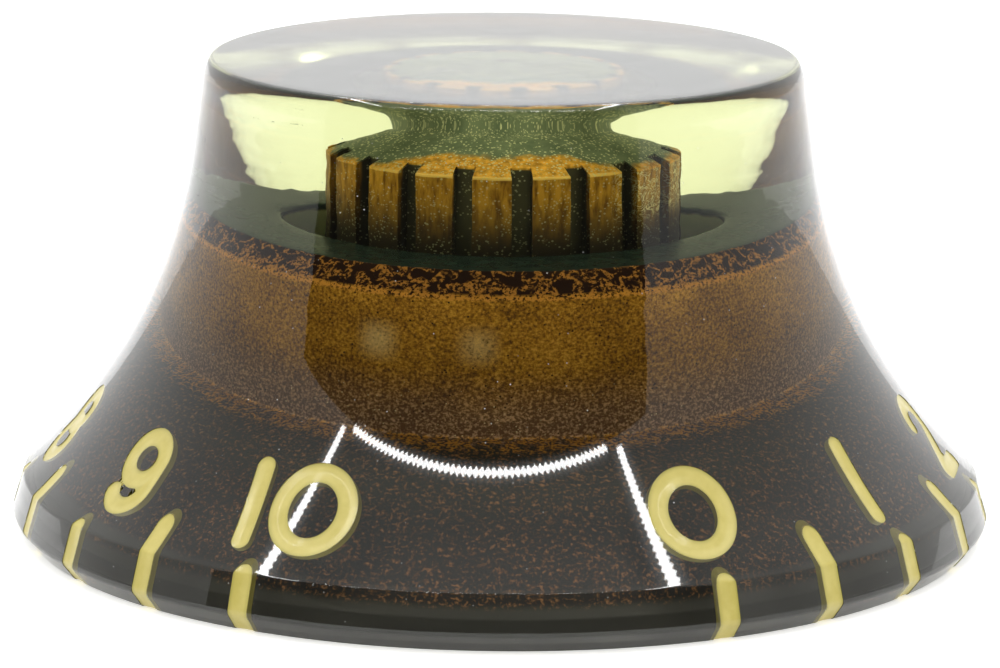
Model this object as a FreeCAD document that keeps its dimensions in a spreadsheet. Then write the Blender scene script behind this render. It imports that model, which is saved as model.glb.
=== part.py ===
import FreeCAD, Part
import Sketcher
import math
import os

# Bell-shaped control knob for a split knurled potentiometer shaft.
# One clear moulding carries everything: a paint coat lines its whole hollow
# underside, and paint fills the engraved numerals and tick marks of the skirt.
# The axis is +Z, the flat of the rim lies on z = 0, and the blank gap of the
# scale, between 10 and 0, faces -Y.

SIZES = [
    # outer form, from the rim up to the crown
    ("overall_height", 12.78),
    ("foot_radius", 12.85),
    ("rim_radius", 13.25),
    ("rim_height", 0.5),
    ("ridge_radius", 12.95),
    ("ridge_height", 1.5),
    ("flare_arc_radius", 14.56),
    ("crown_radius", 8.33),
    ("crown_height", 10.2),
    ("top_radius", 8.02),
    ("top_edge_round", 0.28),
    # hollow underside: dished skirt, then a straight recess with a sloped shoulder
    ("hollow_radius", 11.5),
    ("lip_height", 0.4),
    ("hollow_arc_radius", 7.4),
    ("recess_radius", 6.5),
    ("recess_foot", 3.4),
    ("shoulder_height", 7.45),
    ("ceiling_radius", 6.0),
    ("ceiling_height", 8.1),
    # central boss with the splined socket
    ("boss_radius", 4.0),
    ("boss_foot", 4.6),
    ("socket_radius", 3.2),
    ("cone_foot", 10.12),
    ("cone_top", 11.86),
    ("cone_tip_radius", 0.3),
    ("mouth_chamfer", 0.3),
    ("rib_tip_radius", 2.85),
    ("rib_foot", 5.1),
    ("rib_width", 0.45),
    ("rib_count", 16),
    ("rib_turn", 9.1),
    # paint and engraving
    ("coat_thickness", 0.05),
    ("groove_reach", 0.34),
    ("fill_drop", 0.06),
    ("stroke_width", 0.54),
    ("tick_width", 0.58),
    ("numeral_height", 2.62),
    ("numeral_level", 2.95),
    ("numeral_radius", 11.55),
    ("numeral_tilt", 39.8),
    ("short_tick_top", 1.7),
    ("long_tick_top", 2.35),
    # scale layout in degrees
    ("half_gap", 27.7),
    ("front_pitch", 28.0),
    ("numeral_half_gap", 25.4),
    ("numeral_pitch", 27.6),
    ("numeral_turn", 1.2),
]

# Last value of the evenly pitched front stretch on each side of the gap.
FRONT_LIMIT = 2.0
SCALE_END = 10

# How far the cutting prisms stand clear on both sides of the skirt's skin.
PRISM_OUT = 1.6
PRISM_IN = 1.2
TICK_PRISM_START = 10.8
TICK_PRISM_LENGTH = 4.0
TICK_BELOW = 1.0


def fill_sheet(document):
    sheet = document.addObject("Spreadsheet::Sheet", "Sizes")
    row = 1
    for alias, value in SIZES:
        sheet.set("A%d" % row, alias)
        sheet.set("B%d" % row, str(value))
        sheet.setAlias("B%d" % row, alias)
        row = row + 1
    document.recompute()
    return sheet


doc = FreeCAD.newDocument("bell_knob")
sizes = fill_sheet(doc)


def size(alias):
    return float(sizes.get(alias))


class Coordinate:
    """A sketch coordinate: its formula for the sheet and its present value."""

    def __init__(self, formula, value):
        self.formula = formula
        self.value = value


AXIS = Coordinate(None, 0.0)


def at(alias, minus=None):
    """Coordinate held by one cell, less another cell where one is given."""
    if minus is None:
        return Coordinate("Sizes." + alias, size(alias))
    formula = "Sizes.%s - Sizes.%s" % (alias, minus)
    return Coordinate(formula, size(alias) - size(minus))


def at_sum(alias, other):
    formula = "Sizes.%s + Sizes.%s" % (alias, other)
    return Coordinate(formula, size(alias) + size(other))


def origin_plane(body, role):
    for feature in body.Origin.OriginFeatures:
        if feature.Role == role:
            return feature
    raise RuntimeError("no plane " + role)


def arc_centre(first, second, radius, side):
    """Centre of the arc through two points; side picks one of the two centres."""
    middle = (first + second) * 0.5
    chord = second - first
    normal = FreeCAD.Vector(-chord.y, chord.x, 0)
    normal.normalize()
    reach = math.sqrt(radius * radius - chord.Length * chord.Length / 4)
    return middle + normal * reach * side


def add_arc(sketch, first, second, radius, side):
    """Add the arc and return the vertex numbers of its first and second point."""
    centre = arc_centre(first, second, radius, side)
    circle = Part.Circle(centre, FreeCAD.Vector(0, 0, 1), radius)
    angle_first = math.atan2(first.y - centre.y, first.x - centre.x)
    angle_second = math.atan2(second.y - centre.y, second.x - centre.x)
    if side > 0:
        if angle_second < angle_first:
            angle_second = angle_second + 2 * math.pi
        sketch.addGeometry(Part.ArcOfCircle(circle, angle_first, angle_second), False)
        return 1, 2
    if angle_first < angle_second:
        angle_first = angle_first + 2 * math.pi
    sketch.addGeometry(Part.ArcOfCircle(circle, angle_second, angle_first), False)
    return 2, 1


def pin(sketch, geometry, vertex, coordinate, kind, axis_geometry):
    """Hold one vertex coordinate: on the axis, or at its sheet formula."""
    if coordinate.formula is None:
        rule = Sketcher.Constraint("PointOnObject", geometry, vertex, axis_geometry)
        sketch.addConstraint(rule)
        return
    rule = Sketcher.Constraint(kind, -1, 1, geometry, vertex, coordinate.value)
    index = sketch.addConstraint(rule)
    sketch.setExpression("Constraints[%d]" % index, coordinate.formula)


def draw_outline(sketch, corners):
    """Closed outline from (x, y, arc) corners; arc shapes the side that follows.

    arc is None for a straight side, or (radius alias, side)."""
    count = len(corners)
    points = []
    for across, up, arc in corners:
        points.append(FreeCAD.Vector(across.value, up.value, 0))
    ends = []
    radius_rules = []
    for index in range(count):
        first = points[index]
        second = points[(index + 1) % count]
        arc = corners[index][2]
        if arc is None:
            sketch.addGeometry(Part.LineSegment(first, second), False)
            ends.append((1, 2))
        else:
            ends.append(add_arc(sketch, first, second, size(arc[0]), arc[1]))
            radius_rules.append((index, arc[0]))
    for index in range(count):
        follower = (index + 1) % count
        joint = Sketcher.Constraint("Coincident", index, ends[index][1], follower, ends[follower][0])
        sketch.addConstraint(joint)
    for index in range(count):
        across, up, arc = corners[index]
        pin(sketch, index, ends[index][0], across, "DistanceX", -2)
        pin(sketch, index, ends[index][0], up, "DistanceY", -1)
    for index, alias in radius_rules:
        rule = Sketcher.Constraint("Radius", index, size(alias))
        number = sketch.addConstraint(rule)
        sketch.setExpression("Constraints[%d]" % number, "Sizes." + alias)


def turned_body(name, corners):
    """Body turned about Z from a half profile drawn in the XZ plane."""
    body = doc.addObject("PartDesign::Body", name)
    body.Label = name
    sketch = body.newObject("Sketcher::SketchObject", name + "_profile")
    sketch.AttachmentSupport = [(origin_plane(body, "XZ_Plane"), "")]
    sketch.MapMode = "FlatFace"
    doc.recompute()
    draw_outline(sketch, corners)
    doc.recompute()
    turn = body.newObject("PartDesign::Revolution", name + "_turn")
    turn.Profile = sketch
    turn.ReferenceAxis = (sketch, ["V_Axis"])
    turn.Angle = 360
    sketch.Visibility = False
    doc.recompute()
    return body


def outer_corners():
    return [
        (AXIS, AXIS, None),
        (at("foot_radius"), AXIS, None),
        (at("rim_radius"), at("rim_height"), None),
        (at("ridge_radius"), at("ridge_height"), ("flare_arc_radius", -1)),
        (at("crown_radius"), at("crown_height"), None),
        (at("top_radius"), at("overall_height", "top_edge_round"), ("top_edge_round", 1)),
        (at("top_radius", "top_edge_round"), at("overall_height"), None),
        (AXIS, at("overall_height"), None),
    ]


def skirt_corners(sunk):
    """Skirt form drawn in towards the axis by the sheet's cell named in sunk."""
    return [
        (AXIS, AXIS, None),
        (at("foot_radius", sunk), AXIS, None),
        (at("rim_radius", sunk), at("rim_height"), None),
        (at("ridge_radius", sunk), at("ridge_height"), ("flare_arc_radius", -1)),
        (at("crown_radius", sunk), at("crown_height"), None),
        (AXIS, at("crown_height"), None),
    ]


def hollow_corners(coat):
    return [
        (AXIS, AXIS, None),
        (at("hollow_radius", coat), AXIS, None),
        (at("hollow_radius", coat), at("lip_height", coat), ("hollow_arc_radius", 1)),
        (at("recess_radius", coat), at("recess_foot", coat), None),
        (at("recess_radius", coat), at("shoulder_height", coat), None),
        (at("ceiling_radius", coat), at("ceiling_height", coat), None),
        (AXIS, at("ceiling_height", coat), None),
    ]


def socket_corners(coat):
    """Round socket: blunt conical blind end, chamfered mouth at the boss foot."""
    low = at("boss_foot", "mouth_chamfer")
    mouth_radius = at_sum("socket_radius", "mouth_chamfer")
    if coat is not None:
        mouth_radius = Coordinate(
            "Sizes.socket_radius + Sizes.mouth_chamfer - Sizes.coat_thickness",
            size("socket_radius") + size("mouth_chamfer") - size("coat_thickness"))
    wall = at("socket_radius", coat)
    foot = at("boss_foot", coat)
    mouth_end = Coordinate(
        foot.formula + " + Sizes.mouth_chamfer", foot.value + size("mouth_chamfer"))
    return [
        (AXIS, low, None),
        (mouth_radius, low, None),
        (mouth_radius, foot, None),
        (wall, mouth_end, None),
        (wall, at("cone_foot", coat), None),
        (at("cone_tip_radius"), at("cone_top", coat), None),
        (AXIS, at("cone_top", coat), None),
    ]


def cylinder(name, radius, foot, height):
    """Upright cylinder on the axis; each argument is a sheet formula."""
    shape = doc.addObject("Part::Cylinder", name)
    shape.setExpression("Radius", radius)
    shape.setExpression("Height", height)
    shape.setExpression("Placement.Base.z", foot)
    return shape


def cut(name, base, tool):
    result = doc.addObject("Part::Cut", name)
    result.Base = base
    result.Tool = tool
    return result


def common(name, base, tool):
    result = doc.addObject("Part::Common", name)
    result.Base = base
    result.Tool = tool
    return result


def fuse(name, shapes):
    result = doc.addObject("Part::MultiFuse", name)
    result.Shapes = shapes
    return result


def rib_ring(name, grown):
    """The ribs of the socket: radial bars trimmed to a true inner cylinder."""
    bars = []
    for index in range(int(size("rib_count"))):
        bar = doc.addObject("Part::Box", "%s_bar_%d" % (name, index))
        bar.setExpression("Length", "Sizes.socket_radius")
        bar.setExpression("Width", "Sizes.rib_width + 2 * " + grown)
        bar.setExpression("Height", "Sizes.cone_top")
        bar_foot = size("rib_foot")
        angle = 360.0 / size("rib_count") * index + size("rib_turn")
        half = size("rib_width") / 2
        if grown != "0":
            half = half + size("coat_thickness")
            bar_foot = bar_foot - size("coat_thickness")
        turn = FreeCAD.Rotation(FreeCAD.Vector(0, 0, 1), angle)
        start = FreeCAD.Vector(size("rib_tip_radius") - 0.6, -half, bar_foot)
        bar.Placement = FreeCAD.Placement(turn.multVec(start), turn)
        bars.append(bar)
    ring = cut(
        name + "_annulus",
        cylinder(name + "_outer", "Sizes.socket_radius + 0.2", "0", "Sizes.cone_top + 1"),
        cylinder(name + "_inner", "Sizes.rib_tip_radius - " + grown, "0", "Sizes.cone_top + 1"))
    return common(name, fuse(name + "_bars", bars), ring)


def underside(name, coat):
    """Everything that is hollow under the knob, out to the moulding or the coat."""
    grown = "0"
    if coat is not None:
        grown = "Sizes." + coat
    dish = turned_body(name + "_dish", hollow_corners(coat))
    boss = cylinder(
        name + "_boss",
        "Sizes.boss_radius + " + grown,
        "Sizes.boss_foot - " + grown,
        "Sizes.ceiling_height")
    round_socket = turned_body(name + "_round_socket", socket_corners(coat))
    splined = cut(name + "_socket", round_socket, rib_ring(name + "_ribs", grown))
    ring_space = cut(name + "_ring_space", dish, boss)
    return fuse(name, [ring_space, splined])


def facing(azimuth, radius, level, tilt):
    """Placement of a drawing plane that faces out at an azimuth from -Y towards +X."""
    turn = FreeCAD.Rotation(FreeCAD.Vector(0, 0, 1), azimuth)
    lean = FreeCAD.Rotation(FreeCAD.Vector(1, 0, 0), 90 - tilt)
    place = turn.multVec(FreeCAD.Vector(0, -radius, level))
    return FreeCAD.Placement(place, turn.multiply(lean))


def extruded(name, base, placement, inward, outward):
    """Solid drawn out of a flat outline both ways along the plane's normal."""
    solid = doc.addObject("Part::Extrusion", name)
    solid.Base = base
    solid.DirMode = "Custom"
    solid.Dir = placement.Rotation.multVec(FreeCAD.Vector(0, 0, 1))
    solid.LengthFwd = outward
    solid.LengthRev = inward
    solid.Solid = True
    solid.FaceMakerClass = "Part::FaceMakerBullseye"
    return solid


def prism(name, sketch, placement, inward, outward):
    sketch.Placement = placement
    return extruded(name, sketch, placement, inward, outward)


def path_sketch(name, pieces):
    """Open centre line of one engraver pass, from lines and arcs."""
    sketch = doc.addObject("Sketcher::SketchObject", name)
    for piece in pieces:
        if piece[0] == "line":
            start = FreeCAD.Vector(piece[1][0], piece[1][1], 0)
            end = FreeCAD.Vector(piece[2][0], piece[2][1], 0)
            sketch.addGeometry(Part.LineSegment(start, end), False)
        else:
            centre = FreeCAD.Vector(piece[1][0], piece[1][1], 0)
            circle = Part.Circle(centre, FreeCAD.Vector(0, 0, 1), piece[2])
            low = math.radians(piece[3])
            high = math.radians(piece[4])
            sketch.addGeometry(Part.ArcOfCircle(circle, low, high), False)
    return sketch


def slot_sketch(name, start, end, half_width):
    """Closed outline of a straight pass with round ends."""
    sketch = doc.addObject("Sketcher::SketchObject", name)
    first = FreeCAD.Vector(start[0], start[1], 0)
    last = FreeCAD.Vector(end[0], end[1], 0)
    along = last - first
    heading = math.atan2(along.y, along.x)
    side = FreeCAD.Vector(-math.sin(heading), math.cos(heading), 0) * half_width
    upright = FreeCAD.Vector(0, 0, 1)
    quarter = math.pi / 2
    far_end = Part.Circle(last, upright, half_width)
    near_end = Part.Circle(first, upright, half_width)
    sketch.addGeometry(Part.LineSegment(first - side, last - side), False)
    sketch.addGeometry(Part.ArcOfCircle(far_end, heading - quarter, heading + quarter), False)
    sketch.addGeometry(Part.LineSegment(last + side, first + side), False)
    sketch.addGeometry(Part.ArcOfCircle(near_end, heading + quarter, heading + 3 * quarter), False)
    return sketch


def slot_prism(name, line, width_alias, placement, inward, outward):
    """Prism of one straight engraver pass."""
    sketch = slot_sketch(name + "_outline", line[1], line[2], size(width_alias) / 2)
    return prism(name, sketch, placement, inward, outward)


def stroke_prism(name, pieces, placement):
    """Prism of one bent engraver pass: the centre line widened by the cutter."""
    path = path_sketch(name + "_path", pieces)
    path.Placement = placement
    band = doc.addObject("Part::Offset2D", name + "_band")
    band.Source = path
    band.setExpression("Value", "Sizes.stroke_width / 2")
    band.Mode = "Pipe"
    band.Join = "Arc"
    return extruded(name, band, placement, PRISM_IN, PRISM_OUT)


def ellipse(centre, half_width, half_height):
    middle = FreeCAD.Vector(centre[0], centre[1], 0)
    tall = middle + FreeCAD.Vector(0, half_height, 0)
    wide = middle + FreeCAD.Vector(-half_width, 0, 0)
    if half_height >= half_width:
        return Part.Ellipse(tall, wide, middle)
    return Part.Ellipse(middle + FreeCAD.Vector(half_width, 0, 0), tall, middle)


def loop_prism(name, centre, half_width, half_height, placement):
    """Closed loop of an engraver pass: an oval ring one stroke wide."""
    half_stroke = size("stroke_width") / 2
    sketch = doc.addObject("Sketcher::SketchObject", name + "_rings")
    sketch.addGeometry(ellipse(centre, half_width + half_stroke, half_height + half_stroke), False)
    sketch.addGeometry(ellipse(centre, half_width - half_stroke, half_height - half_stroke), False)
    return prism(name, sketch, placement, PRISM_IN, PRISM_OUT)


def arc_point(centre, radius, degrees):
    angle = math.radians(degrees)
    return (centre[0] + radius * math.cos(angle), centre[1] + radius * math.sin(angle))


def digit_strokes(digit, top):
    """Centre lines and closed loops of one digit, centred on the drawing plane.

    top is half the height between the outermost centre lines."""
    bowl = 0.61 * top
    bowl_level = top - bowl
    loops = []
    paths = []
    if digit == 0:
        loops = [((0, 0), 0.88 * top, top)]
    if digit == 1:
        paths = [[("line", (0, -top), (0, top))]]
    if digit == 2:
        centre = (0, top - 0.60 * top)
        radius = 0.60 * top
        turn_off = arc_point(centre, radius, -38)
        paths = [[
            ("arc", centre, radius, -38, 172),
            ("line", turn_off, (-0.64 * top, -top)),
            ("line", (-0.64 * top, -top), (0.72 * top, -top)),
        ]]
    if digit == 3:
        paths = [
            [("arc", (0, 0.49 * top), 0.51 * top, -82, 160)],
            [("arc", (0, -0.44 * top), 0.56 * top, -160, 96)],
        ]
    if digit == 4:
        paths = [
            [("line", (0.30 * top, -top), (0.30 * top, top))],
            [
                ("line", (0.30 * top, top), (-0.72 * top, -0.38 * top)),
                ("line", (-0.72 * top, -0.38 * top), (0.74 * top, -0.38 * top)),
            ],
        ]
    if digit == 5:
        centre = (-0.03 * top, -0.37 * top)
        radius = 0.63 * top
        paths = [
            [
                ("line", (0.58 * top, top), (-0.42 * top, top)),
                ("line", (-0.42 * top, top), arc_point(centre, radius, 137)),
            ],
            [("arc", centre, radius, -148, 137)],
        ]
    if digit == 6:
        loops = [((0, -bowl_level), bowl, bowl)]
        paths = [[
            ("line", (-bowl, -bowl_level), (-bowl, bowl_level)),
            ("arc", (0, bowl_level), bowl, 28, 180),
        ]]
    if digit == 7:
        paths = [[
            ("line", (-0.64 * top, top), (0.66 * top, top)),
            ("line", (0.66 * top, top), (-0.22 * top, -top)),
        ]]
    if digit == 8:
        loops = [
            ((0, 0.49 * top), 0.51 * top, 0.51 * top),
            ((0, -0.43 * top), 0.57 * top, 0.57 * top),
        ]
    if digit == 9:
        loops = [((0, bowl_level), bowl, bowl)]
        paths = [[
            ("line", (bowl, bowl_level), (bowl, -bowl_level)),
            ("arc", (0, -bowl_level), bowl, -152, 0),
        ]]
    return loops, paths


def shifted(point, along):
    return (point[0] + along, point[1])


def shifted_piece(piece, along):
    if piece[0] == "line":
        return ("line", shifted(piece[1], along), shifted(piece[2], along))
    return ("arc", shifted(piece[1], along), piece[2], piece[3], piece[4])


def numeral_prism(name, digits, placement):
    """Prism of a whole numeral; digits holds (digit, sideways shift) pairs."""
    top = (size("numeral_height") - size("stroke_width")) / 2
    solids = []
    for digit, along in digits:
        loops, paths = digit_strokes(digit, top)
        for centre, half_width, half_height in loops:
            part_name = "%s_loop_%d" % (name, len(solids))
            solids.append(
                loop_prism(part_name, shifted(centre, along), half_width, half_height, placement))
        for path in paths:
            part_name = "%s_stroke_%d" % (name, len(solids))
            moved = [shifted_piece(piece, along) for piece in path]
            if len(moved) == 1 and moved[0][0] == "line":
                solids.append(slot_prism(
                    part_name, moved[0], "stroke_width", placement, PRISM_IN, PRISM_OUT))
            else:
                solids.append(stroke_prism(part_name, moved, placement))
    if len(solids) == 1:
        return solids[0]
    return fuse(name + "_prism", solids)


def tick_prism(name, azimuth, top_alias):
    """Upright slot with a round top that runs out through the foot of the rim."""
    placement = facing(azimuth, TICK_PRISM_START, 0, 0)
    high = size(top_alias) - size("tick_width") / 2
    line = ("line", (0, -TICK_BELOW), (0, high))
    return slot_prism(name + "_slot", line, "tick_width", placement, 0, TICK_PRISM_LENGTH)


def scale_azimuth(value, near, pitch):
    """Azimuth of a scale value, from the middle of the gap towards +X.

    The stretches beside the gap have their own pitch; the rest share the remainder."""
    if value <= FRONT_LIMIT:
        return near + pitch * value
    if value >= SCALE_END - FRONT_LIMIT:
        return 360 - near - pitch * (SCALE_END - value)
    first = near + pitch * FRONT_LIMIT
    share = (value - FRONT_LIMIT) / (SCALE_END - 2 * FRONT_LIMIT)
    return first + (360 - 2 * first) * share


def tick_azimuth(value):
    return scale_azimuth(value, size("half_gap"), size("front_pitch"))


def numeral_azimuth(value):
    """The numerals stand a little off their ticks, as a ring set separately."""
    near = size("numeral_half_gap")
    return scale_azimuth(value, near, size("numeral_pitch")) + size("numeral_turn")


def numeral_digits(value):
    if value < 10:
        return [(value, 0.0)]
    return [(1, -1.25), (0, 0.44)]


def mark_prisms():
    """All engraved marks as (node name, prism) pairs."""
    marks = []
    for value in range(SCALE_END + 1):
        name = "numeral_%d" % value
        placement = facing(
            numeral_azimuth(value),
            size("numeral_radius"), size("numeral_level"), size("numeral_tilt"))
        marks.append((name, numeral_prism(name, numeral_digits(value), placement)))
        name = "tick_%d" % value
        marks.append((name, tick_prism(name, tick_azimuth(value), "short_tick_top")))
    for value in range(SCALE_END):
        name = "half_tick_%d_5" % value
        marks.append((name, tick_prism(name, tick_azimuth(value + 0.5), "long_tick_top")))
    return marks


def build():
    """Make every sub-part and return the finished objects."""
    blank = turned_body("blank", outer_corners())
    groove_floor = turned_body("groove_floor", skirt_corners("groove_reach"))
    fill_face = turned_body("fill_face", skirt_corners("fill_drop"))
    hollow = underside("hollow", None)
    coated_hollow = underside("coated_hollow", "coat_thickness")

    marks = mark_prisms()
    grooves = cut("grooves", fuse("groove_prisms", [pair[1] for pair in marks]), groove_floor)
    hollowed = cut("hollowed", blank, hollow)
    knob_body = cut("knob_body", hollowed, grooves)

    gold_backing = cut("gold_backing", hollow, coated_hollow)

    skin = cut("skin", fill_face, groove_floor)
    finished = [knob_body, gold_backing]
    for name, solid in marks:
        finished.append(common(name, skin, solid))
    for item in finished:
        item.Label = item.Name
    doc.recompute()
    return finished


def check(finished):
    for item in doc.Objects:
        if "Invalid" in item.State or "Error" in item.State:
            raise RuntimeError("%s did not compute: %s" % (item.Name, item.State))
    for item in finished:
        shape = item.Shape
        if shape.isNull() or not shape.isValid() or len(shape.Solids) < 1:
            raise RuntimeError("%s has no valid solid" % item.Label)


def export(finished):
    os.makedirs("parts", exist_ok=True)
    for item in finished:
        item.Shape.exportStep("parts/%s.step" % item.Label)
        print("%-14s solids %d  volume %.4f" % (item.Label, len(item.Shape.Solids), item.Shape.Volume))


finished_parts = build()
check(finished_parts)
export(finished_parts)
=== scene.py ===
import bmesh
import bpy
import math
import numpy as np
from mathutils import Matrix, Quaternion, Vector


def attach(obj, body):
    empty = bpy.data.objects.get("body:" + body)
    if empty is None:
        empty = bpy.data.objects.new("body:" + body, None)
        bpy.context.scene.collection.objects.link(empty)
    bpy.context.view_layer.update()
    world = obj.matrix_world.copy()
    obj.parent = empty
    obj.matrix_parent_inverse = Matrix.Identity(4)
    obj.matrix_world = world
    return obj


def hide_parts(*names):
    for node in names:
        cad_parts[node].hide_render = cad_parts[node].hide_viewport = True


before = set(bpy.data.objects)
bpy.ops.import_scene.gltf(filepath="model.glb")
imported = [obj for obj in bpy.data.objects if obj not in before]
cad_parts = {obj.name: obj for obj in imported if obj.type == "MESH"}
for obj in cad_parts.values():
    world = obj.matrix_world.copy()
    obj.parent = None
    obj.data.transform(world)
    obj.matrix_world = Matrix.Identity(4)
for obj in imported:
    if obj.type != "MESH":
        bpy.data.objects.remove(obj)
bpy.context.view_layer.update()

MM = 0.001
SCENE = bpy.context.scene
DEG = math.pi / 180

# ---------------------------------------------------------------- sizes, mm
HEIGHT = 12.78
FLARE_R, FLARE_X, FLARE_Z = 14.56, 22.744, 12.273
CROWN_R, CROWN_Z = 8.33, 10.2
EDGE_START = (8.087, 12.0)       # where the crown wall starts to roll into the top face
RIB_COUNT, RIB_TURN, RIB_WIDTH, RIB_TIP, RIB_FOOT = 16, 9.1, 0.45, 2.85, 5.1
LAND_R, CONE_FOOT, CONE_TOP, CONE_TIP = 3.2, 10.12, 11.86, 0.3
COAT = 0.05
BOSS_R = 4.0
BOSS_FOOT = 4.6          # height of the boss's lower face
MOUTH_R, MOUTH_Z = 3.5, 4.9      # socket mouth chamfer: its wide radius, its upper height
LIP_R, LIP_Z = 11.5, 0.4         # inner edge of the rim the knob stands on
WALL_R, WALL_FOOT, WALL_TOP = 6.5, 3.4, 7.45
CEILING_R, CEILING_Z = 6.0, 8.1
DISH_R = 7.4             # radius of the dished underside of the skirt
BITE = 0.006             # how far paint reaches into the moulding it touches
STROKE, TICK = 0.54, 0.58        # widths of a numeral's stroke and of a tick
GROOVE = 0.34            # depth of the engraving below the skin
PAINT_DEEP, PAINT_LIP = 0.045, 0.02      # how far paint lies below the skin, mid stroke and edge
LED_WAVE = 224.0         # radians of comb per unit of ceiling, about one LED each 0.028
LED_STRENGTH = 30.0
LED_FRONT, LED_REAR = 0.705, 0.72        # where the front and rear bars stand, y over z
OPEN_SIDE, OPEN_RISE = (-2.5, 1.32), (-0.6, 1.36)        # the tent's opening, x and z over -y
OPEN_DARK = 0.93         # share of the tent's light that the opening lacks
NUMERAL_FIRST, NUMERAL_PITCH, NUMERAL_SHIFT = 25.4, 27.6, 1.2        # degrees
NUMERAL_R, NUMERAL_Z, NUMERAL_TILT = 11.55, 2.95, 39.8
TICK_FIRST, TICK_PITCH, TICK_R = 27.7, 28.0, 11.0
TICK_TOP, HALF_TICK_TOP = 1.7, 2.35      # heights of the two kinds of tick


# ---------------------------------------------------------------- mesh tools
def new_object(name, verts_mm, faces, sharp=32):
    mesh = bpy.data.meshes.new(name)
    mesh.from_pydata((np.asarray(verts_mm, float) * MM).tolist(), [], faces)
    mesh.validate()
    work = bmesh.new()
    work.from_mesh(mesh)
    bmesh.ops.recalc_face_normals(work, faces=work.faces)
    work.to_mesh(mesh)
    work.free()
    mesh.update()
    obj = bpy.data.objects.new(name, mesh)
    SCENE.collection.objects.link(obj)
    shade(obj, sharp)
    return obj


def shade(obj, sharp):
    obj.data.shade_smooth()
    obj.data.set_sharp_from_angle(angle=sharp * DEG)


def fillet_path(corners, steps=6):
    """Smooth half profile from (r, z, fillet radius) corners."""
    out = []
    count = len(corners)
    for i, (r, z, round_r) in enumerate(corners):
        if round_r <= 0 or i == 0 or i == count - 1:
            out.append((r, z))
            continue
        here = Vector((r, z))
        back = Vector(corners[i - 1][:2]) - here
        ahead = Vector(corners[i + 1][:2]) - here
        turn = math.pi - back.angle(ahead)
        reach = round_r * math.tan(turn / 2)
        reach = min(reach, 0.49 * back.length, 0.49 * ahead.length)
        first = here + back.normalized() * reach
        last = here + ahead.normalized() * reach
        for k in range(steps + 1):
            f = k / steps
            p = first * (1 - f) ** 2 + here * 2 * f * (1 - f) + last * f * f
            out.append((p.x, p.y))
    return out


def subdivided(points, longest):
    """The same line with no step longer than the given length."""
    out = [points[0]]
    for a, b in zip(points, points[1:]):
        n = max(1, int(math.ceil(math.dist(a, b) / longest)))
        for k in range(1, n + 1):
            f = k / n
            out.append((a[0] + (b[0] - a[0]) * f, a[1] + (b[1] - a[1]) * f))
    return out


def column_angles(half_rib, half_land):
    """Azimuths of one turn's columns, from -Y towards +X, and which are on ribs."""
    pitch = 2 * math.pi / RIB_COUNT
    angles, on_rib = [], []
    for k in range(RIB_COUNT):
        mid = RIB_TURN * DEG + pitch * k
        for a in np.linspace(-half_rib, half_rib, 9):
            angles.append(mid + a)
            on_rib.append(True)
        for a in np.linspace(half_land, pitch - half_land, 23):
            angles.append(mid + a)
            on_rib.append(False)
    return np.array(angles), np.array(on_rib)


PLAIN_ANGLES, _ = column_angles(3.7 * DEG, 4.2 * DEG)


def ring(radii, z, angles):
    radii = np.broadcast_to(radii, angles.shape)
    z = np.broadcast_to(z, angles.shape)
    return np.stack([radii * np.sin(angles), -radii * np.cos(angles), z], axis=1)


def skin_rings(verts, faces, rings, cap_start=None, cap_end=None):
    """Quads between consecutive rings; caps are centre points."""
    n = len(rings[0])
    base = len(verts)
    for r in rings:
        verts.extend(r.tolist())
    for i in range(len(rings) - 1):
        a, b = base + i * n, base + (i + 1) * n
        for c in range(n):
            d = (c + 1) % n
            faces.append((a + c, a + d, b + d, b + c))
    if cap_start is not None:
        verts.append(cap_start)
        centre = len(verts) - 1
        for c in range(n):
            faces.append((centre, base + (c + 1) % n, base + c))
    if cap_end is not None:
        verts.append(cap_end)
        centre = len(verts) - 1
        a = base + (len(rings) - 1) * n
        for c in range(n):
            faces.append((centre, a + c, a + (c + 1) % n))


# ---------------------------------------------------------------- profiles
def flare_r(z):
    """Radius of the hollow-curved flank at height z."""
    return FLARE_X - math.sqrt(FLARE_R ** 2 - (z - FLARE_Z) ** 2)


def outer_profile():
    """Half profile of the outside, from the foot to the middle of the top face."""
    corners = [(11.5, 0.0, 0), (12.85, 0.0, 0.10), (13.25, 0.5, 0.22), (12.95, 1.5, 0.26)]
    for k in range(1, 64):
        z = 1.5 + (CROWN_Z - 1.5) * (k / 63) ** 1.15
        corners.append((flare_r(z), z, 0.0))
    corners[-1] = (CROWN_R, CROWN_Z, 3.0)
    corners.append((EDGE_START[0], EDGE_START[1], 0))
    path = fillet_path(corners, 12)
    start, bend, end = Vector(EDGE_START), Vector((8.03, HEIGHT)), Vector((7.75, HEIGHT))
    for k in range(1, 15):
        f = k / 14
        p = start * (1 - f) ** 2 + bend * 2 * f * (1 - f) + end * f * f
        path.append((p.x, p.y))
    path.append((0.6, HEIGHT))
    return subdivided(path, 0.5)


OUTER = outer_profile()
SIDE_Z = np.array([p[1] for p in OUTER if p[1] < HEIGHT - 0.3])
SIDE_R = np.array([p[0] for p in OUTER if p[1] < HEIGHT - 0.3])
KEEP = np.concatenate([[True], np.diff(SIDE_Z) > 1e-6])
SIDE_Z, SIDE_R = SIDE_Z[KEEP], SIDE_R[KEEP]
SIDE_R[0] = 12.8         # at the foot the skirt's outside counts, not the flat it stands on


def outer_r(z):
    """Outside radius at height z, for laying marks on the skin."""
    return np.interp(z, SIDE_Z, SIDE_R)


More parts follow.
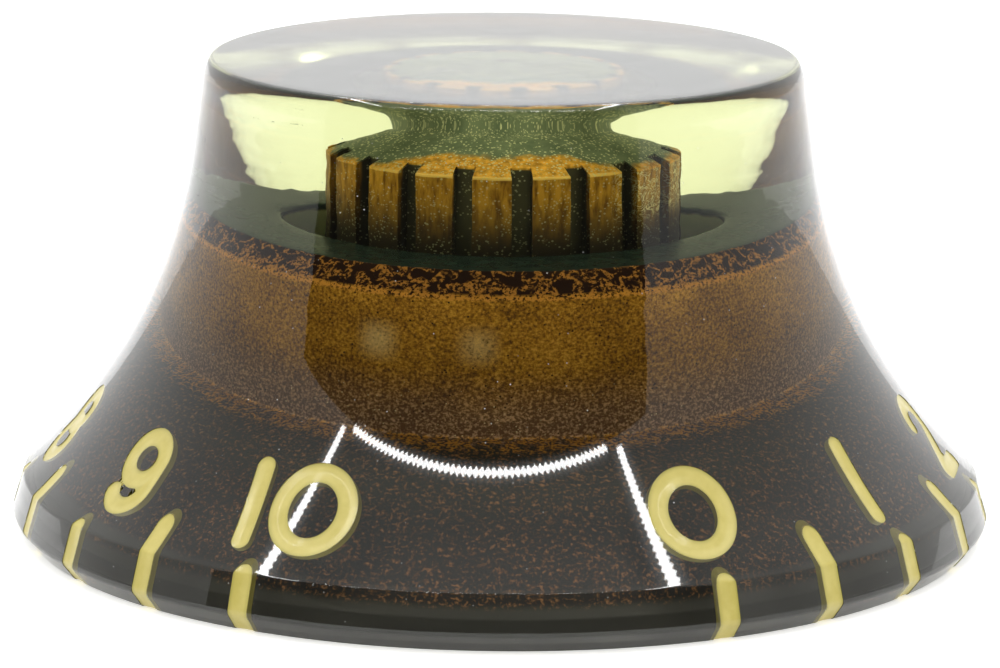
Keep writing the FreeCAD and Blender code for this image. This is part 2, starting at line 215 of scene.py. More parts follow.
def hollow_profile(coat):
    """Half profile of the hollow's plain part, from the rim lip to the socket mouth."""
    first = (LIP_R - coat, LIP_Z - coat)
    last = (WALL_R - coat, WALL_FOOT - coat)
    a, b = Vector(first), Vector(last)
    mid, chord = (a + b) / 2, b - a
    normal = Vector((-chord.y, chord.x)).normalized()
    centre = mid + normal * math.sqrt(DISH_R ** 2 - chord.length_squared / 4)
    t0 = math.atan2(a.y - centre.y, a.x - centre.x)
    t1 = math.atan2(b.y - centre.y, b.x - centre.x)
    corners = [(first[0], 0.0, 0), (first[0], first[1], 0.12)]
    for k in range(1, 24):
        t = t0 + (t1 - t0) * k / 24
        corners.append((centre.x + DISH_R * math.cos(t), centre.y + DISH_R * math.sin(t), 0))
    corners += [
        (last[0], last[1], 0.10),
        (WALL_R - coat, WALL_TOP - coat, 0.07),
        (CEILING_R - coat, CEILING_Z - coat, 0.10),
        (BOSS_R + coat, CEILING_Z - coat, 0.15),
        (BOSS_R + coat, BOSS_FOOT - coat, 0.10),
        (MOUTH_R - coat, BOSS_FOOT - coat, 0),
        (LAND_R - coat, MOUTH_Z - coat, 0),
        (LAND_R - coat, RIB_FOOT - coat, 0),
    ]
    return subdivided(fillet_path(corners, 4), 0.45)


def hollow_rings(coat):
    """Rings over the whole hollow, from the rim lip up to the socket's blind end."""
    tip = RIB_TIP - coat
    land = LAND_R - coat
    half = RIB_WIDTH / 2 + coat
    angles, on_rib = column_angles(math.asin(half / tip), math.asin(half / land))
    rings = [ring(r, z, PLAIN_ANGLES) for r, z in hollow_profile(coat)]
    foot, top = CONE_FOOT - coat, CONE_TOP - coat
    slope = (top - foot) / (land - CONE_TIP)
    tip_level = foot + (land - tip) * slope
    for z in np.linspace(RIB_FOOT - coat + 0.02, foot, 14):
        rings.append(ring(np.where(on_rib, tip, land), z, angles))
    rings.append(ring(
        np.where(on_rib, tip, land - 0.01), np.where(on_rib, tip_level, foot + 0.006), angles))
    for r in np.linspace(tip - 0.02, CONE_TIP, 9):
        rings.append(ring(r, foot + (land - r) * slope, PLAIN_ANGLES))
    return rings, (0.0, 0.0, top)


# ---------------------------------------------------------------- marks
def arc_points(centre, radius, low, high, step=3.0):
    n = max(2, int(abs(high - low) / step) + 1)
    return [
        (centre[0] + radius * math.cos(t * DEG), centre[1] + radius * math.sin(t * DEG))
        for t in np.linspace(low, high, n)
    ]


def digit_paths(digit):
    """Centre lines of a digit's engraver passes, mm, centred on the numeral."""
    top = (2.62 - STROKE) / 2
    bowl = 0.61 * top
    level = top - bowl
    if digit == 0:
        return [[(0.88 * top * math.cos(t), top * math.sin(t))
                 for t in np.linspace(0, 2 * math.pi, 121)]]
    if digit == 1:
        return [[(0, -top), (0, top)]]
    if digit == 2:
        arc = arc_points((0, 0.40 * top), 0.60 * top, 172, -38)
        return [arc + [(-0.64 * top, -top), (0.72 * top, -top)]]
    if digit == 3:
        return [arc_points((0, 0.49 * top), 0.51 * top, -82, 160),
                arc_points((0, -0.44 * top), 0.56 * top, -160, 96)]
    if digit == 4:
        return [[(0.30 * top, -top), (0.30 * top, top),
                 (-0.72 * top, -0.38 * top), (0.74 * top, -0.38 * top)]]
    if digit == 5:
        arc = arc_points((-0.03 * top, -0.37 * top), 0.63 * top, 137, -148)
        return [[(0.58 * top, top), (-0.42 * top, top)] + arc]
    if digit == 6:
        return [arc_points((0, -level), bowl, 0, 360),
                [(-bowl, -level)] + arc_points((0, level), bowl, 180, 28)]
    if digit == 7:
        return [[(-0.64 * top, top), (0.66 * top, top), (-0.22 * top, -top)]]
    if digit == 8:
        return [arc_points((0, 0.49 * top), 0.51 * top, 0, 360),
                arc_points((0, -0.43 * top), 0.57 * top, 0, 360)]
    return [arc_points((0, level), bowl, 0, 360),
            [(bowl, level)] + arc_points((0, -level), bowl, 0, -152)]


def numeral_paths(value):
    if value < 10:
        return digit_paths(value)
    one = [[(u - 1.25, v) for u, v in path] for path in digit_paths(1)]
    nought = [[(u + 0.44, v) for u, v in path] for path in digit_paths(0)]
    return one + nought


def scale_azimuth(value, near, pitch):
    """Degrees from -Y; marks 8..2 keep the pitch, 2..8 share what is left at the back."""
    if value <= 2:
        return near + pitch * value
    if value >= 8:
        return 360 - near - pitch * (10 - value)
    first = near + pitch * 2
    return first + (360 - 2 * first) * (value - 2) / 6


def nearest_on_paths(points, paths):
    """Distance to the nearest centre line, and that nearest point."""
    best = np.full(len(points), 1e9)
    near = np.zeros_like(points)
    for path in paths:
        p = np.array(path, float)
        for a, b in zip(p, p[1:]):
            ab = b - a
            f = np.clip(((points - a) @ ab) / max(ab @ ab, 1e-12), 0, 1)
            q = a + f[:, None] * ab
            d = np.hypot(*(points - q).T)
            closer = d < best
            best[closer] = d[closer]
            near[closer] = q[closer]
    return best, near


def patch(paths, half, cell, floor_v=None):
    """Grid cells under the stroke, their rim snapped to its outline."""
    p = np.concatenate([np.array(path, float) for path in paths])
    low, high = p.min(0) - half - cell, p.max(0) + half + cell
    us = np.arange(low[0], high[0] + cell, cell)
    vs = np.arange(low[1], high[1] + cell, cell)
    if floor_v is not None:
        vs = np.arange(floor_v, high[1] + cell, cell)
    grid_u, grid_v = np.meshgrid(us, vs, indexing="ij")
    points = np.stack([grid_u.ravel(), grid_v.ravel()], axis=1)
    dist, near = nearest_on_paths(points, paths)
    outside = dist > half
    moved = near + (points - near) * (half / np.maximum(dist, 1e-9))[:, None]
    if floor_v is not None:
        at_floor = np.abs(points[:, 1] - floor_v) < 1e-9
        moved[at_floor, 1] = floor_v
        side = np.sign(points[:, 0] - near[:, 0])
        moved[at_floor, 0] = near[at_floor, 0] + side[at_floor] * half
    points[outside] = moved[outside]
    dist[outside] = half
    nv = len(vs)
    index = np.arange(len(points)).reshape(len(us), nv)
    inside = ~outside.reshape(len(us), nv)
    any_in = inside[:-1, :-1] | inside[1:, :-1] | inside[:-1, 1:] | inside[1:, 1:]
    cells = []
    for i, j in zip(*np.nonzero(any_in)):
        cells.append((index[i, j], index[i + 1, j], index[i + 1, j + 1], index[i, j + 1]))
    used = np.unique(np.array(cells).ravel())
    remap = -np.ones(len(points), int)
    remap[used] = np.arange(len(used))
    cells = [tuple(int(remap[k]) for k in c) for c in cells]
    return points[used], dist[used], cells


def groove_depth(dist, half, deep, lip):
    """V-shaped channel with a soft bottom, measured below the skirt's skin."""
    soft = 0.14
    a = dist / half
    rise = (np.sqrt(a * a + soft * soft) - soft) / (math.sqrt(1 + soft * soft) - soft)
    return lip + (deep - lip) * (1 - rise)


def on_skin(points, azimuth, radius, level, tilt):
    """Drawing plane points carried along its normal to the skirt's skin."""
    phi, tau = azimuth * DEG, tilt * DEG
    u_axis = np.array([math.cos(phi), math.sin(phi), 0])
    out_axis = np.array([math.sin(phi), -math.cos(phi), 0])
    up = np.array([0, 0, 1.0])
    normal = out_axis * math.cos(tau) + up * math.sin(tau)
    v_axis = -out_axis * math.sin(tau) + up * math.cos(tau)
    base = out_axis * radius + up * level
    flat = base + points[:, :1] * u_axis + points[:, 1:] * v_axis
    low = np.full(len(points), -3.0)
    high = np.full(len(points), 3.0)
    for _ in range(36):
        mid = (low + high) / 2
        p = flat + mid[:, None] * normal
        beyond = np.hypot(p[:, 0], p[:, 1]) > outer_r(p[:, 2])
        high = np.where(beyond, mid, high)
        low = np.where(beyond, low, mid)
    return flat + ((low + high) / 2)[:, None] * normal, normal


def slab(top, bottom, cells):
    """Closed solid between two copies of a patch."""
    n = len(top)
    verts = np.concatenate([top, bottom])
    faces = [tuple(c) for c in cells]
    faces += [tuple(n + k for k in reversed(c)) for c in cells]
    seen = {}
    for c in cells:
        for a, b in zip(c, c[1:] + c[:1]):
            seen[(a, b)] = True
    for a, b in seen:
        if (b, a) not in seen:
            faces.append((b, a, a + n, b + n))
    return verts, faces


def mark_solids(paths, width, azimuth, radius, level, tilt, floor_v=None):
    """(paint solid, cutter solid) for one mark."""
    half = width / 2
    points, dist, cells = patch(paths, half, 0.045, floor_v)
    skin, normal = on_skin(points, azimuth, radius, level, tilt)
    top = skin - groove_depth(dist, half, PAINT_DEEP, PAINT_LIP)[:, None] * normal
    paint = slab(top, skin - GROOVE * normal, cells)
    # third part: each vertex's share of the way from the centre line to the stroke's edge, read by
    # the paint's painted edge shade as 'rim'
    paint = (*paint, np.concatenate([dist / half, np.ones(len(dist))]))
    cut_floor = None if floor_v is None else floor_v - 0.4
    points, dist, cells = patch(paths, half - BITE, 0.09, cut_floor)
    skin, normal = on_skin(points, azimuth, radius, level, tilt)
    cutter = slab(skin + 0.5 * normal, skin - (GROOVE - 0.02) * normal, cells)
    return paint, cutter


def all_marks():
    """CAD node name to (paint solid, cutter solid)."""
    marks = {}
    for value in range(11):
        azimuth = scale_azimuth(value, NUMERAL_FIRST, NUMERAL_PITCH) + NUMERAL_SHIFT
        marks["numeral_%d" % value] = mark_solids(
            numeral_paths(value), STROKE, azimuth, NUMERAL_R, NUMERAL_Z, NUMERAL_TILT)
    ticks = [(float(v), "tick_%d" % v, TICK_TOP) for v in range(11)]
    ticks += [(v + 0.5, "half_tick_%d_5" % v, HALF_TICK_TOP) for v in range(10)]
    for value, name, top in ticks:
        azimuth = scale_azimuth(value, TICK_FIRST, TICK_PITCH)
        line = [[(0, -1.0), (0, top - TICK / 2)]]
        marks[name] = mark_solids(line, TICK, azimuth, TICK_R, 0.0, 0.0, floor_v=0.0)
    return marks


# ---------------------------------------------------------------- pieces
def make_body(marks):
    """The clear moulding, with every mark engraved."""
    verts, faces = [], []
    rings = [ring(r, z, PLAIN_ANGLES) for r, z in reversed(OUTER[1:])]
    inner, apex = hollow_rings(0.0)
    skin_rings(verts, faces, rings + inner, (0, 0, HEIGHT), apex)
    body = new_object("clear_moulding", verts, faces)
    cut_verts, cut_faces = [], []
    for _, (v, f) in marks.values():
        base = len(cut_verts)
        cut_verts.extend(v.tolist())
        cut_faces.extend(tuple(base + k for k in face) for face in f)
    cutter = new_object("engraver", cut_verts, cut_faces)
    modifier = body.modifiers.new("engrave", "BOOLEAN")
    modifier.operation = "DIFFERENCE"
    modifier.solver = "MANIFOLD"
    modifier.object = cutter
    graph = bpy.context.evaluated_depsgraph_get()
    carved = bpy.data.meshes.new_from_object(body.evaluated_get(graph))
    body.modifiers.clear()
    body.data = carved
    bpy.data.objects.remove(cutter)
    shade(body, 32)
    return body


def make_coat():
    """Thin shell of paint over the whole hollow, its outer face just inside the moulding."""
    verts, faces = [], []
    touching, apex = hollow_rings(-BITE)
    bare, bare_apex = hollow_rings(COAT)
    skin_rings(verts, faces, touching, None, apex)
    base = len(verts)
    skin_rings(verts, faces, bare[::-1], bare_apex, None)
    n = len(touching[0])
    last = base + (len(bare) - 1) * n
    for c in range(n):
        d = (c + 1) % n
        faces.append((last + c, last + d, d, c))
    return new_object("gold_coat", verts, faces)


# ---------------------------------------------------------------- materials
def node_tree(name):
    mat = bpy.data.materials.new(name)
    mat.use_nodes = True
    tree = mat.node_tree
    tree.nodes.clear()
    out = tree.nodes.new("ShaderNodeOutputMaterial")
    shader = tree.nodes.new("ShaderNodeBsdfPrincipled")
    tree.links.new(shader.outputs["BSDF"], out.inputs["Surface"])
    return mat, tree, shader, out


def math_node(tree, operation, a, b=None, c=None):
    node = tree.nodes.new("ShaderNodeMath")
    node.operation = operation
    for socket, value in zip(node.inputs, (a, b, c)):
        if value is None:
            continue
        if isinstance(value, (int, float)):
            socket.default_value = value
        else:
            tree.links.new(value, socket)
    return node.outputs[0]


def both(tree, a, b):
    return math_node(tree, "MULTIPLY", a, b)


def blend(tree, factor, first, second):
    """Colour mix; first and second are colour tuples or sockets."""
    node = tree.nodes.new("ShaderNodeMix")
    node.data_type = "RGBA"
    tree.links.new(factor, node.inputs[0])
    for socket, value in ((node.inputs[6], first), (node.inputs[7], second)):
        if isinstance(value, tuple):
            socket.default_value = (*value, 1)
        else:
            tree.links.new(value, socket)
    return node.outputs[2]


def step_between(tree, value, low, high):
    """0 below low, 1 above high, smooth between."""
    node = tree.nodes.new("ShaderNodeMapRange")
    node.interpolation_type = "SMOOTHSTEP"
    tree.links.new(value, node.inputs[0])
    node.inputs[1].default_value = low
    node.inputs[2].default_value = high
    return node.outputs[0]


def ramp(tree, factor, stops):
    node = tree.nodes.new("ShaderNodeValToRGB")
    elements = node.color_ramp.elements
    while len(elements) < len(stops):
        elements.new(0.5)
    for element, (place, colour) in zip(elements, stops):
        element.position = place
        element.color = (*colour, 1)
    tree.links.new(factor, node.inputs[0])
    return node.outputs[0]


def noise(tree, vector, per_mm, detail=2.0, rough=0.5, distortion=0.0):
    node = tree.nodes.new("ShaderNodeTexNoise")
    tree.links.new(vector, node.inputs["Vector"])
    node.inputs["Scale"].default_value = per_mm
    node.inputs["Detail"].default_value = detail
    node.inputs["Roughness"].default_value = rough
    node.inputs["Distortion"].default_value = distortion
    return node.outputs[0]


def specks(tree, vector, per_mm, radius):
    """1 inside small round grains scattered through space, 0 outside."""
    node = tree.nodes.new("ShaderNodeTexVoronoi")
    tree.links.new(vector, node.inputs["Vector"])
    node.inputs["Scale"].default_value = per_mm
    return step_between(tree, node.outputs["Distance"], radius, radius * 0.6)


def millimetres(tree):
    """Object position in mm, with its height and its distance from the axis."""
    where = tree.nodes.new("ShaderNodeTexCoord")
    scale = tree.nodes.new("ShaderNodeVectorMath")
    scale.operation = "SCALE"
    scale.inputs["Scale"].default_value = 1000
    tree.links.new(where.outputs["Object"], scale.inputs[0])
    parts = tree.nodes.new("ShaderNodeSeparateXYZ")
    tree.links.new(scale.outputs[0], parts.inputs[0])
    x, y, z = parts.outputs
    r = math_node(tree, "SQRT", math_node(
        tree, "ADD", math_node(tree, "MULTIPLY", x, x), math_node(tree, "MULTIPLY", y, y)))
    return scale.outputs[0], x, y, z, r


def acrylic_material():
    mat, tree, shader, out = node_tree("clear_amber")
    where, _, _, z, _ = millimetres(tree)
    shader.inputs["Base Color"].default_value = (1, 1, 1, 1)
    shader.inputs["IOR"].default_value = 1.49
    worn = noise(tree, where, 1.3, 3.0, 0.6)
    top = step_between(tree, z, 12.70, 12.77)
    haze = math_node(tree, "MULTIPLY", top, math_node(tree, "MULTIPLY_ADD", worn, 0.10, 0.13))
    tree.links.new(haze, shader.inputs["Roughness"])
    dust = specks(tree, where, 2.6, 0.055)
    clouded = math_node(
        tree, "MAXIMUM",
        math_node(tree, "MULTIPLY", top, 0.10), math_node(tree, "MULTIPLY", dust, 0.55))
    tree.links.new(math_node(tree, "SUBTRACT", 1.0, clouded), shader.inputs["Transmission Weight"])
    ripple = noise(tree, where, 0.9, 2.0, 0.45)
    bump = tree.nodes.new("ShaderNodeBump")
    bump.inputs["Strength"].default_value = 1.0
    bump.inputs["Distance"].default_value = 0.000012
    wavy = math_node(tree, "MULTIPLY_ADD", step_between(tree, z, 5.5, 8.0), 0.98, 0.02)
    tree.links.new(math_node(tree, "MULTIPLY", ripple, wavy), bump.inputs["Height"])
    tree.links.new(bump.outputs[0], shader.inputs["Normal"])
    volume = tree.nodes.new("ShaderNodeVolumeAbsorption")
    volume.inputs["Color"].default_value = (0.605, 0.64, 0.222, 1)
    volume.inputs["Density"].default_value = 100.0
    tree.links.new(volume.outputs[0], out.inputs["Volume"])
    return mat


def gold_material():
    mat, tree, shader, _ = node_tree("gold_paint")
    where, x, y, z, r = millimetres(tree)
    fine = noise(tree, where, 13.0, 3.0, 0.65)
    coarse = noise(tree, where, 2.2, 3.0, 0.6)
    drift = noise(tree, where, 0.55, 2.0, 0.5)
    wiggle = math_node(tree, "MULTIPLY_ADD", fine, 0.3, -0.15)
    z_rough = math_node(tree, "ADD", z, wiggle)
    r_rough = math_node(tree, "ADD", r, math_node(tree, "MULTIPLY_ADD", coarse, 0.5, -0.25))

    # recess wall: fine amber flake, greyer low down, with black pinholes
    light = math_node(tree, "MULTIPLY_ADD", step_between(tree, z, 3.6, 7.6), 0.10, -0.04)
    light = math_node(tree, "ADD", light, math_node(tree, "MULTIPLY_ADD", drift, 0.30, -0.15))
    wall = ramp(tree, math_node(tree, "ADD", fine, light), [
        (0.30, (0.050, 0.022, 0.004)), (0.44, (0.19, 0.080, 0.008)),
        (0.56, (0.37, 0.165, 0.014)), (0.74, (0.66, 0.33, 0.035))])
    wall = blend(tree, step_between(tree, z, 5.6, 3.6), wall, blend(
        tree, step_between(tree, fine, 0.45, 0.66), (0.14, 0.070, 0.040), (0.54, 0.31, 0.19)))
    hole = specks(tree, where, 6.5, 0.22)
    hole = both(tree, hole, step_between(tree, coarse, 0.50, 0.58))
    wall = blend(tree, hole, wall, (0.012, 0.007, 0.004))
    glint = specks(tree, where, 5.2, 0.10)
    wall = blend(tree, both(tree, glint, step_between(tree, z, 5.4, 4.2)), wall, (0.9, 0.72, 0.42))

    # painted reflections of the light bars: two pale upright streaks on the recess wall, at fixed
    # turns from -Y and round height 6.1
    turn = math_node(tree, "ARCTAN2", x, math_node(tree, "MULTIPLY", y, -1.0))
    high = math_node(tree, "ABSOLUTE", math_node(tree, "SUBTRACT", z, 6.1))
    high = step_between(tree, high, 0.75, 0.05)
    for spot, strength in ((-0.42, 0.50), (-0.05, 0.36)):
        aside = math_node(tree, "ABSOLUTE", math_node(tree, "SUBTRACT", turn, spot))
        bar_reflection = both(
            tree, both(tree, step_between(tree, aside, 0.10, 0.01), high),
            step_between(tree, fine, 0.2, 0.5))
        wall = blend(tree, math_node(tree, "MULTIPLY", bar_reflection, strength), wall, (0.85, 0.60, 0.28))

    # dished skirt: near black with rusty flecks
    fleck = noise(tree, where, 9.0, 3.0, 0.7, 0.3)
    skirt = ramp(tree, fleck, [
        (0.50, (0.044, 0.042, 0.041)), (0.57, (0.100, 0.060, 0.040)),
        (0.66, (0.34, 0.165, 0.075))])
    skirt = blend(tree, step_between(tree, r, 11.2, 11.4), skirt, (0.085, 0.082, 0.076))

    # worm-like cracks in the shoulder and along the wall's foot
    worm = noise(tree, where, 2.7, 2.0, 0.5, 0.5)
    worm = math_node(tree, "ABSOLUTE", math_node(tree, "SUBTRACT", worm, 0.5))
    worm = math_node(tree, "ADD", worm, math_node(
        tree, "MULTIPLY", step_between(tree, z, 7.55, 8.05), 0.035))
    worm = both(tree, step_between(tree, worm, 0.105, 0.035), step_between(tree, fine, 0.44, 0.54))
    shoulder = blend(tree, worm, (0.022, 0.009, 0.004), (0.50, 0.21, 0.035))
    low_edge = both(tree, step_between(tree, z, 7.58, 7.48), step_between(tree, fine, 0.40, 0.50))
    shoulder = blend(tree, low_edge, shoulder, (0.62, 0.27, 0.035))

    # flat ceiling and the well round the socket
    ceiling = ramp(tree, coarse, [(0.3, (0.018, 0.032, 0.024)), (0.7, (0.030, 0.050, 0.038))])
    # painted light: the well's near-white colour brightens a narrow, shaded shaft round the boss
    well_light = ramp(tree, coarse, [(0.3, (0.78, 0.88, 0.62)), (0.7, (0.88, 0.95, 0.70))])

    # socket lands, streaked along the axis, lit amber towards the top and dark lower down as
    # painted light and shade; the ribs between them are darkened as painted shade
    squeeze = tree.nodes.new("ShaderNodeVectorMath")
    squeeze.operation = "MULTIPLY"
    squeeze.inputs[1].default_value = (1, 1, 0.22)
    tree.links.new(where, squeeze.inputs[0])
    streak = noise(tree, squeeze.outputs[0], 7.0, 3.0, 0.6)
    lit = ramp(tree, streak, [(0.34, (0.20, 0.085, 0.008)), (0.62, (0.62, 0.31, 0.030))])
    bright = step_between(tree, math_node(tree, "ADD", z, wiggle), 8.0, 9.9)
    land = blend(tree, bright, (0.060, 0.045, 0.026), lit)
    crack = noise(tree, where, 3.6, 2.0, 0.6, 1.4)
    crack = math_node(tree, "ABSOLUTE", math_node(tree, "SUBTRACT", crack, 0.5))
    crack = both(tree, step_between(tree, crack, 0.040, 0.012), step_between(tree, x, 2.2, 2.6))
    land = blend(tree, both(tree, crack, step_between(tree, z, 8.6, 9.0)), land, (0.80, 0.68, 0.34))
    # painted shade: the ribs are darkened
    land = blend(tree, step_between(tree, r, 3.12, 3.0), land, (0.080, 0.072, 0.040))

    # conical blind end: amber low down as painted light, its pool reaching higher on the side
    # towards -Y; dull green above, with pale grains as painted glints
    dull = ramp(tree, coarse, [(0.3, (0.130, 0.168, 0.090)), (0.7, (0.240, 0.284, 0.155))])
    amber = ramp(tree, streak, [(0.35, (0.50, 0.22, 0.020)), (0.62, (0.95, 0.50, 0.06))])
    facing = math_node(
        tree, "DIVIDE",
        math_node(tree, "MULTIPLY", y, -1.0), math_node(tree, "MAXIMUM", r, 0.1))
    # painted light: towards -Y the amber pool reaches further up the cone
    front_light_reach = math_node(tree, "MULTIPLY", step_between(tree, facing, 0.93, 0.55), 0.60)
    band = math_node(tree, "SUBTRACT", r_rough, front_light_reach)
    cone = blend(tree, step_between(tree, band, 2.38, 2.56), dull, amber)
    level = math_node(tree, "MULTIPLY_ADD", r, 0.6, -12.04)
    on_cone = step_between(tree, math_node(tree, "ADD", z, level), -0.06, -0.02)
    core = blend(tree, on_cone, land, cone)
    # painted highlight: a thin bright line where the lands meet the cone, on the side towards -Y
    edge_highlight = both(tree, step_between(tree, z, 10.06, 10.10), step_between(tree, z, 10.17, 10.13))
    edge_highlight = both(tree, edge_highlight, both(
        tree, step_between(tree, r, 3.08, 3.12), step_between(tree, facing, 0.45, 0.80)))
    core = blend(tree, edge_highlight, core, (1.0, 0.66, 0.16))
    # painted glints: pale grains in the socket, stronger higher up
    big = specks(tree, where, 7.5, 0.24)
    big = both(tree, big, step_between(tree, r, 1.5, 1.8))
    small = specks(tree, where, 12.0, 0.32)
    small = both(tree, small, step_between(tree, r, 1.4, 1.7))
    small = both(tree, small, math_node(
        tree, "MAXIMUM", step_between(tree, coarse, 0.46, 0.56), on_cone))
    tiny = specks(tree, where, 28.0, 0.34)
    tiny = both(tree, tiny, step_between(tree, r, 1.9, 1.6))
    grain_glints = math_node(tree, "MAXIMUM", big, math_node(tree, "MAXIMUM", small, tiny))
    grain_glints = both(tree, grain_glints, math_node(
        tree, "MULTIPLY_ADD", step_between(tree, z, 9.8, 10.6), 0.60, 0.35))
    core = blend(tree, grain_glints, core, (0.76, 0.74, 0.40))

    colour = blend(tree, step_between(tree, z_rough, 3.30, 3.45), skirt, wall)
    foot = both(
        tree, step_between(tree, z_rough, 3.24, 3.34), step_between(tree, z_rough, 3.52, 3.42))
    foot = both(tree, foot, worm)
    colour = blend(tree, foot, colour, (0.60, 0.27, 0.05))
    colour = blend(tree, step_between(tree, z_rough, 7.36, 7.44), colour, shoulder)
    in_ceiling = both(tree, step_between(tree, r, 6.02, 5.96), step_between(tree, z, 7.90, 8.00))
    # the well's painted light lies only on the coat's face that touches the moulding; the
    # free face lies COAT away, outside these limits, and stays gold
    in_well = both(
        tree, step_between(tree, r, BOSS_R + 0.035, BOSS_R + 0.015),
        step_between(tree, z, 8.00, 7.90))
    in_well = both(tree, in_well, step_between(tree, z, 4.57, 4.59))
    in_well = both(tree, in_well, step_between(tree, r, 3.44, 3.50))
    in_core = step_between(tree, r, 3.4, 3.3)
    colour = blend(tree, in_ceiling, colour, ceiling)
    colour = blend(tree, in_well, colour, well_light)
    colour = blend(tree, in_core, colour, core)
    tree.links.new(colour, shader.inputs["Base Color"])
    outside_core = math_node(tree, "SUBTRACT", 1.0, in_core)
    sheen = both(tree, math_node(tree, "MAXIMUM", in_ceiling, in_well), outside_core)
    tree.links.new(math_node(tree, "MULTIPLY_ADD", sheen, -0.35, 0.35), shader.inputs["Metallic"])
    tree.links.new(math_node(tree, "MULTIPLY_ADD", sheen, -0.20, 0.42), shader.inputs["Roughness"])
    shader.inputs["IOR"].default_value = 1.07
    return mat


def fill_material():
    mat, tree, shader, _ = node_tree("pale_paint")
    where = millimetres(tree)[0]
    patchy = noise(tree, where, 2.0, 3.0, 0.6)
    colour = ramp(tree, patchy, [(0.3, (0.49, 0.41, 0.085)), (0.7, (0.57, 0.485, 0.130))])
    # painted shade: each stroke darkens to olive towards its edges, standing in for the shading of
    # its V-shaped groove
    rim = tree.nodes.new("ShaderNodeAttribute")
    rim.attribute_name = "rim"
    groove_shade = step_between(tree, math_node(
        tree, "MULTIPLY_ADD", patchy, 0.3, rim.outputs["Fac"]), 0.62, 1.20)
    colour = blend(tree, groove_shade, colour, (0.42, 0.36, 0.07))
    tree.links.new(colour, shader.inputs["Base Color"])
    shader.inputs["Roughness"].default_value = 0.40
    shader.inputs["Coat Weight"].default_value = 0.3
    shader.inputs["Coat Roughness"].default_value = 0.12
    return mat


# ---------------------------------------------------------------- studio
def make_floor():
    size = 0.9
    verts = [(-size, -size, 0), (size, -size, 0), (size, size, 0), (-size, size, 0)]
    mesh = bpy.data.meshes.new("studio_floor")
    mesh.from_pydata(verts, [], [(0, 1, 2, 3)])
    floor = bpy.data.objects.new("studio_floor", mesh)
    SCENE.collection.objects.link(floor)
    floor.location.z = -0.00002
    mat = bpy.data.materials.new("studio_floor")
    mat.use_nodes = True
    tree = mat.node_tree
    shader = tree.nodes["Principled BSDF"]
    shader.inputs["Base Color"].default_value = (0.85, 0.85, 0.85, 1)
    shader.inputs["Roughness"].default_value = 0.9
    shader.inputs["Emission Color"].default_value = (1, 1, 1, 1)
    shader.inputs["Emission Strength"].default_value = 0.5
    floor.data.materials.append(mat)


def inside(tree, value, low, high):
    """1 where value lies between low and high."""
    above = math_node(tree, "GREATER_THAN", value, low)
    below = math_node(tree, "LESS_THAN", value, high)
    return math_node(tree, "MULTIPLY", above, below)


def glow(tree, off):
    """Profile across a light bar: bright core and a faint halo."""
    core = step_between(tree, off, 0.026, 0.014)
    halo = step_between(tree, off, 0.075, 0.010)
    return math_node(tree, "MULTIPLY_ADD", halo, 0.060, core)


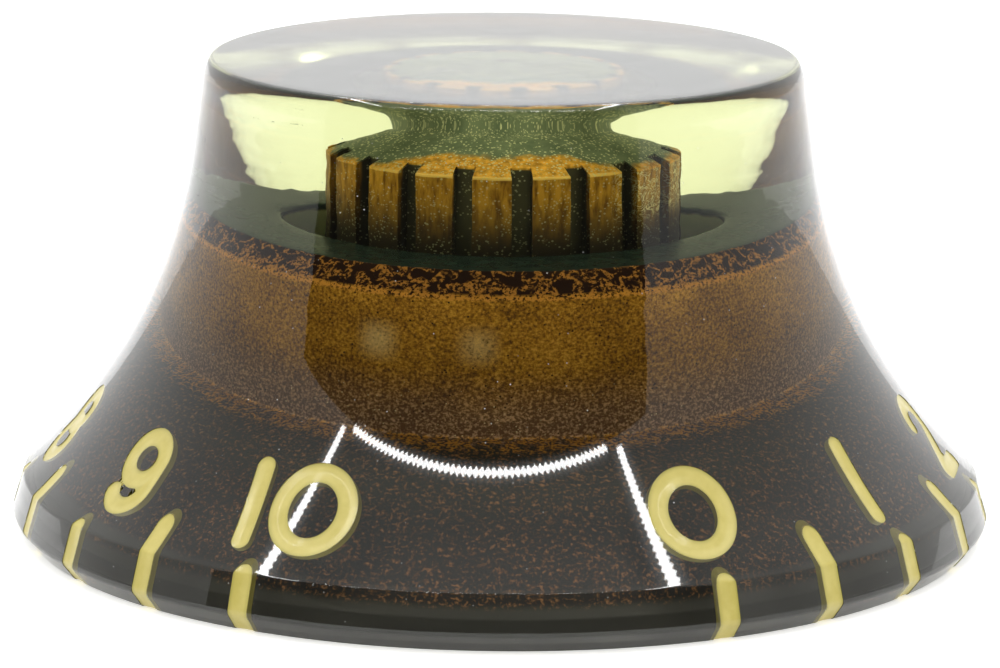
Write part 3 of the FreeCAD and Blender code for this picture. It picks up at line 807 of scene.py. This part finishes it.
def make_world():
    """White tent, open towards the camera, with a rectangle of LED strips overhead."""
    world = bpy.data.worlds.new("light_tent")
    SCENE.world = world
    world.use_nodes = True
    tree = world.node_tree
    tree.nodes.clear()
    out = tree.nodes.new("ShaderNodeOutputWorld")
    back = tree.nodes.new("ShaderNodeBackground")
    tree.links.new(back.outputs[0], out.inputs["Surface"])
    where = tree.nodes.new("ShaderNodeTexCoord")
    parts = tree.nodes.new("ShaderNodeSeparateXYZ")
    tree.links.new(where.outputs["Generated"], parts.inputs[0])
    x, y, z = parts.outputs
    walls = math_node(tree, "MULTIPLY_ADD", step_between(tree, y, -0.1, 0.7), 0.58, 1.0)
    side, rise = (
        math_node(tree, "DIVIDE", part, math_node(
            tree, "MAXIMUM", math_node(tree, "MULTIPLY", y, -1), 0.02))
        for part in (x, z))
    opening = both(tree, inside(tree, side, *OPEN_SIDE), inside(tree, rise, *OPEN_RISE))
    opening = both(tree, opening, math_node(tree, "LESS_THAN", y, -0.05))
    tent = both(tree, walls, math_node(tree, "MULTIPLY_ADD", opening, -OPEN_DARK, 1.0))
    over = math_node(tree, "MAXIMUM", z, 0.02)
    uy = math_node(tree, "DIVIDE", y, over)
    ux = math_node(tree, "DIVIDE", x, over)
    left = math_node(tree, "SUBTRACT", ux, math_node(tree, "MULTIPLY_ADD", uy, 0.417, -0.645))
    right = math_node(tree, "SUBTRACT", math_node(tree, "MULTIPLY_ADD", uy, -0.346, 0.442), ux)
    nearest = math_node(tree, "MINIMUM", left, right)
    comb_across = math_node(tree, "SINE", math_node(tree, "MULTIPLY", ux, LED_WAVE))
    comb_along = math_node(tree, "SINE", math_node(tree, "MULTIPLY", uy, LED_WAVE))
    front = math_node(tree, "ABSOLUTE", math_node(tree, "ADD", uy, LED_FRONT))
    rear = math_node(tree, "ABSOLUTE", math_node(tree, "SUBTRACT", uy, LED_REAR))
    off_across = math_node(tree, "MINIMUM", front, rear)
    off_across = math_node(tree, "MULTIPLY_ADD", comb_across, 0.009, off_across)
    off_along = math_node(tree, "ABSOLUTE", math_node(tree, "SUBTRACT", nearest, 0.015))
    off_along = math_node(tree, "MULTIPLY_ADD", comb_along, 0.004, off_along)
    across = both(tree, glow(tree, off_across), step_between(tree, nearest, 0.085, 0.105))
    along = both(tree, glow(tree, off_along), step_between(
        tree, math_node(tree, "ABSOLUTE", uy), 0.690, 0.665))
    strip = math_node(tree, "ADD", across, along)
    strip = math_node(tree, "MULTIPLY", strip, math_node(tree, "GREATER_THAN", z, 0.1))
    tent = math_node(tree, "ADD", tent, math_node(tree, "MULTIPLY", strip, LED_STRENGTH))
    path = tree.nodes.new("ShaderNodeLightPath")
    soft = math_node(tree, "GREATER_THAN", path.outputs["Diffuse Depth"], 0.5)
    plain = math_node(tree, "MULTIPLY_ADD", step_between(tree, y, -0.9, 0.5), 0.8, 0.6)
    level = tree.nodes.new("ShaderNodeMix")
    tree.links.new(soft, level.inputs[0])
    tree.links.new(tent, level.inputs[2])
    tree.links.new(plain, level.inputs[3])
    seen = tree.nodes.new("ShaderNodeMix")
    tree.links.new(path.outputs["Is Camera Ray"], seen.inputs[0])
    tree.links.new(level.outputs[0], seen.inputs[2])
    seen.inputs[3].default_value = 1.0
    tree.links.new(seen.outputs[0], back.inputs["Strength"])


def make_camera():
    azimuth, elevation, distance = 1.9 * DEG, 12.22 * DEG, 0.125
    back = Vector((
        math.sin(azimuth) * math.cos(elevation),
        -math.cos(azimuth) * math.cos(elevation),
        math.sin(elevation)))
    data = bpy.data.cameras.new("camera")
    data.sensor_width = 36.0
    data.lens = 166.2
    data.shift_x = -0.0020
    data.shift_y = -0.0307
    data.clip_start = 0.01
    data.clip_end = 5.0
    camera = bpy.data.objects.new("camera", data)
    SCENE.collection.objects.link(camera)
    camera.location = Vector((0, 0, 0.006)) + back * distance
    camera.rotation_mode = "QUATERNION"
    turn = (-back).to_track_quat("-Z", "Y")
    camera.rotation_quaternion = turn @ Quaternion((0, 0, 1), 0.55 * DEG)
    SCENE.camera = camera


# ---------------------------------------------------------------- assembly
SCENE.view_settings.view_transform = "Standard"
marks = all_marks()
acrylic, gold, fill = acrylic_material(), gold_material(), fill_material()

body = make_body(marks)
body.data.materials.clear()
body.data.materials.append(acrylic)
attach(body, "root")
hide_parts("knob_body")

coat = make_coat()
coat.data.materials.append(gold)
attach(coat, "root")
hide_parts("gold_backing")

for name, (solid, _) in marks.items():
    piece = new_object("paint_" + name, solid[0], solid[1], 50)
    rim = piece.data.attributes.new("rim", "FLOAT", "POINT")
    rim.data.foreach_set("value", solid[2].astype(np.float32))
    piece.data.materials.append(fill)
    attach(piece, "root")
    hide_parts(name)

make_floor()
make_world()
make_camera()
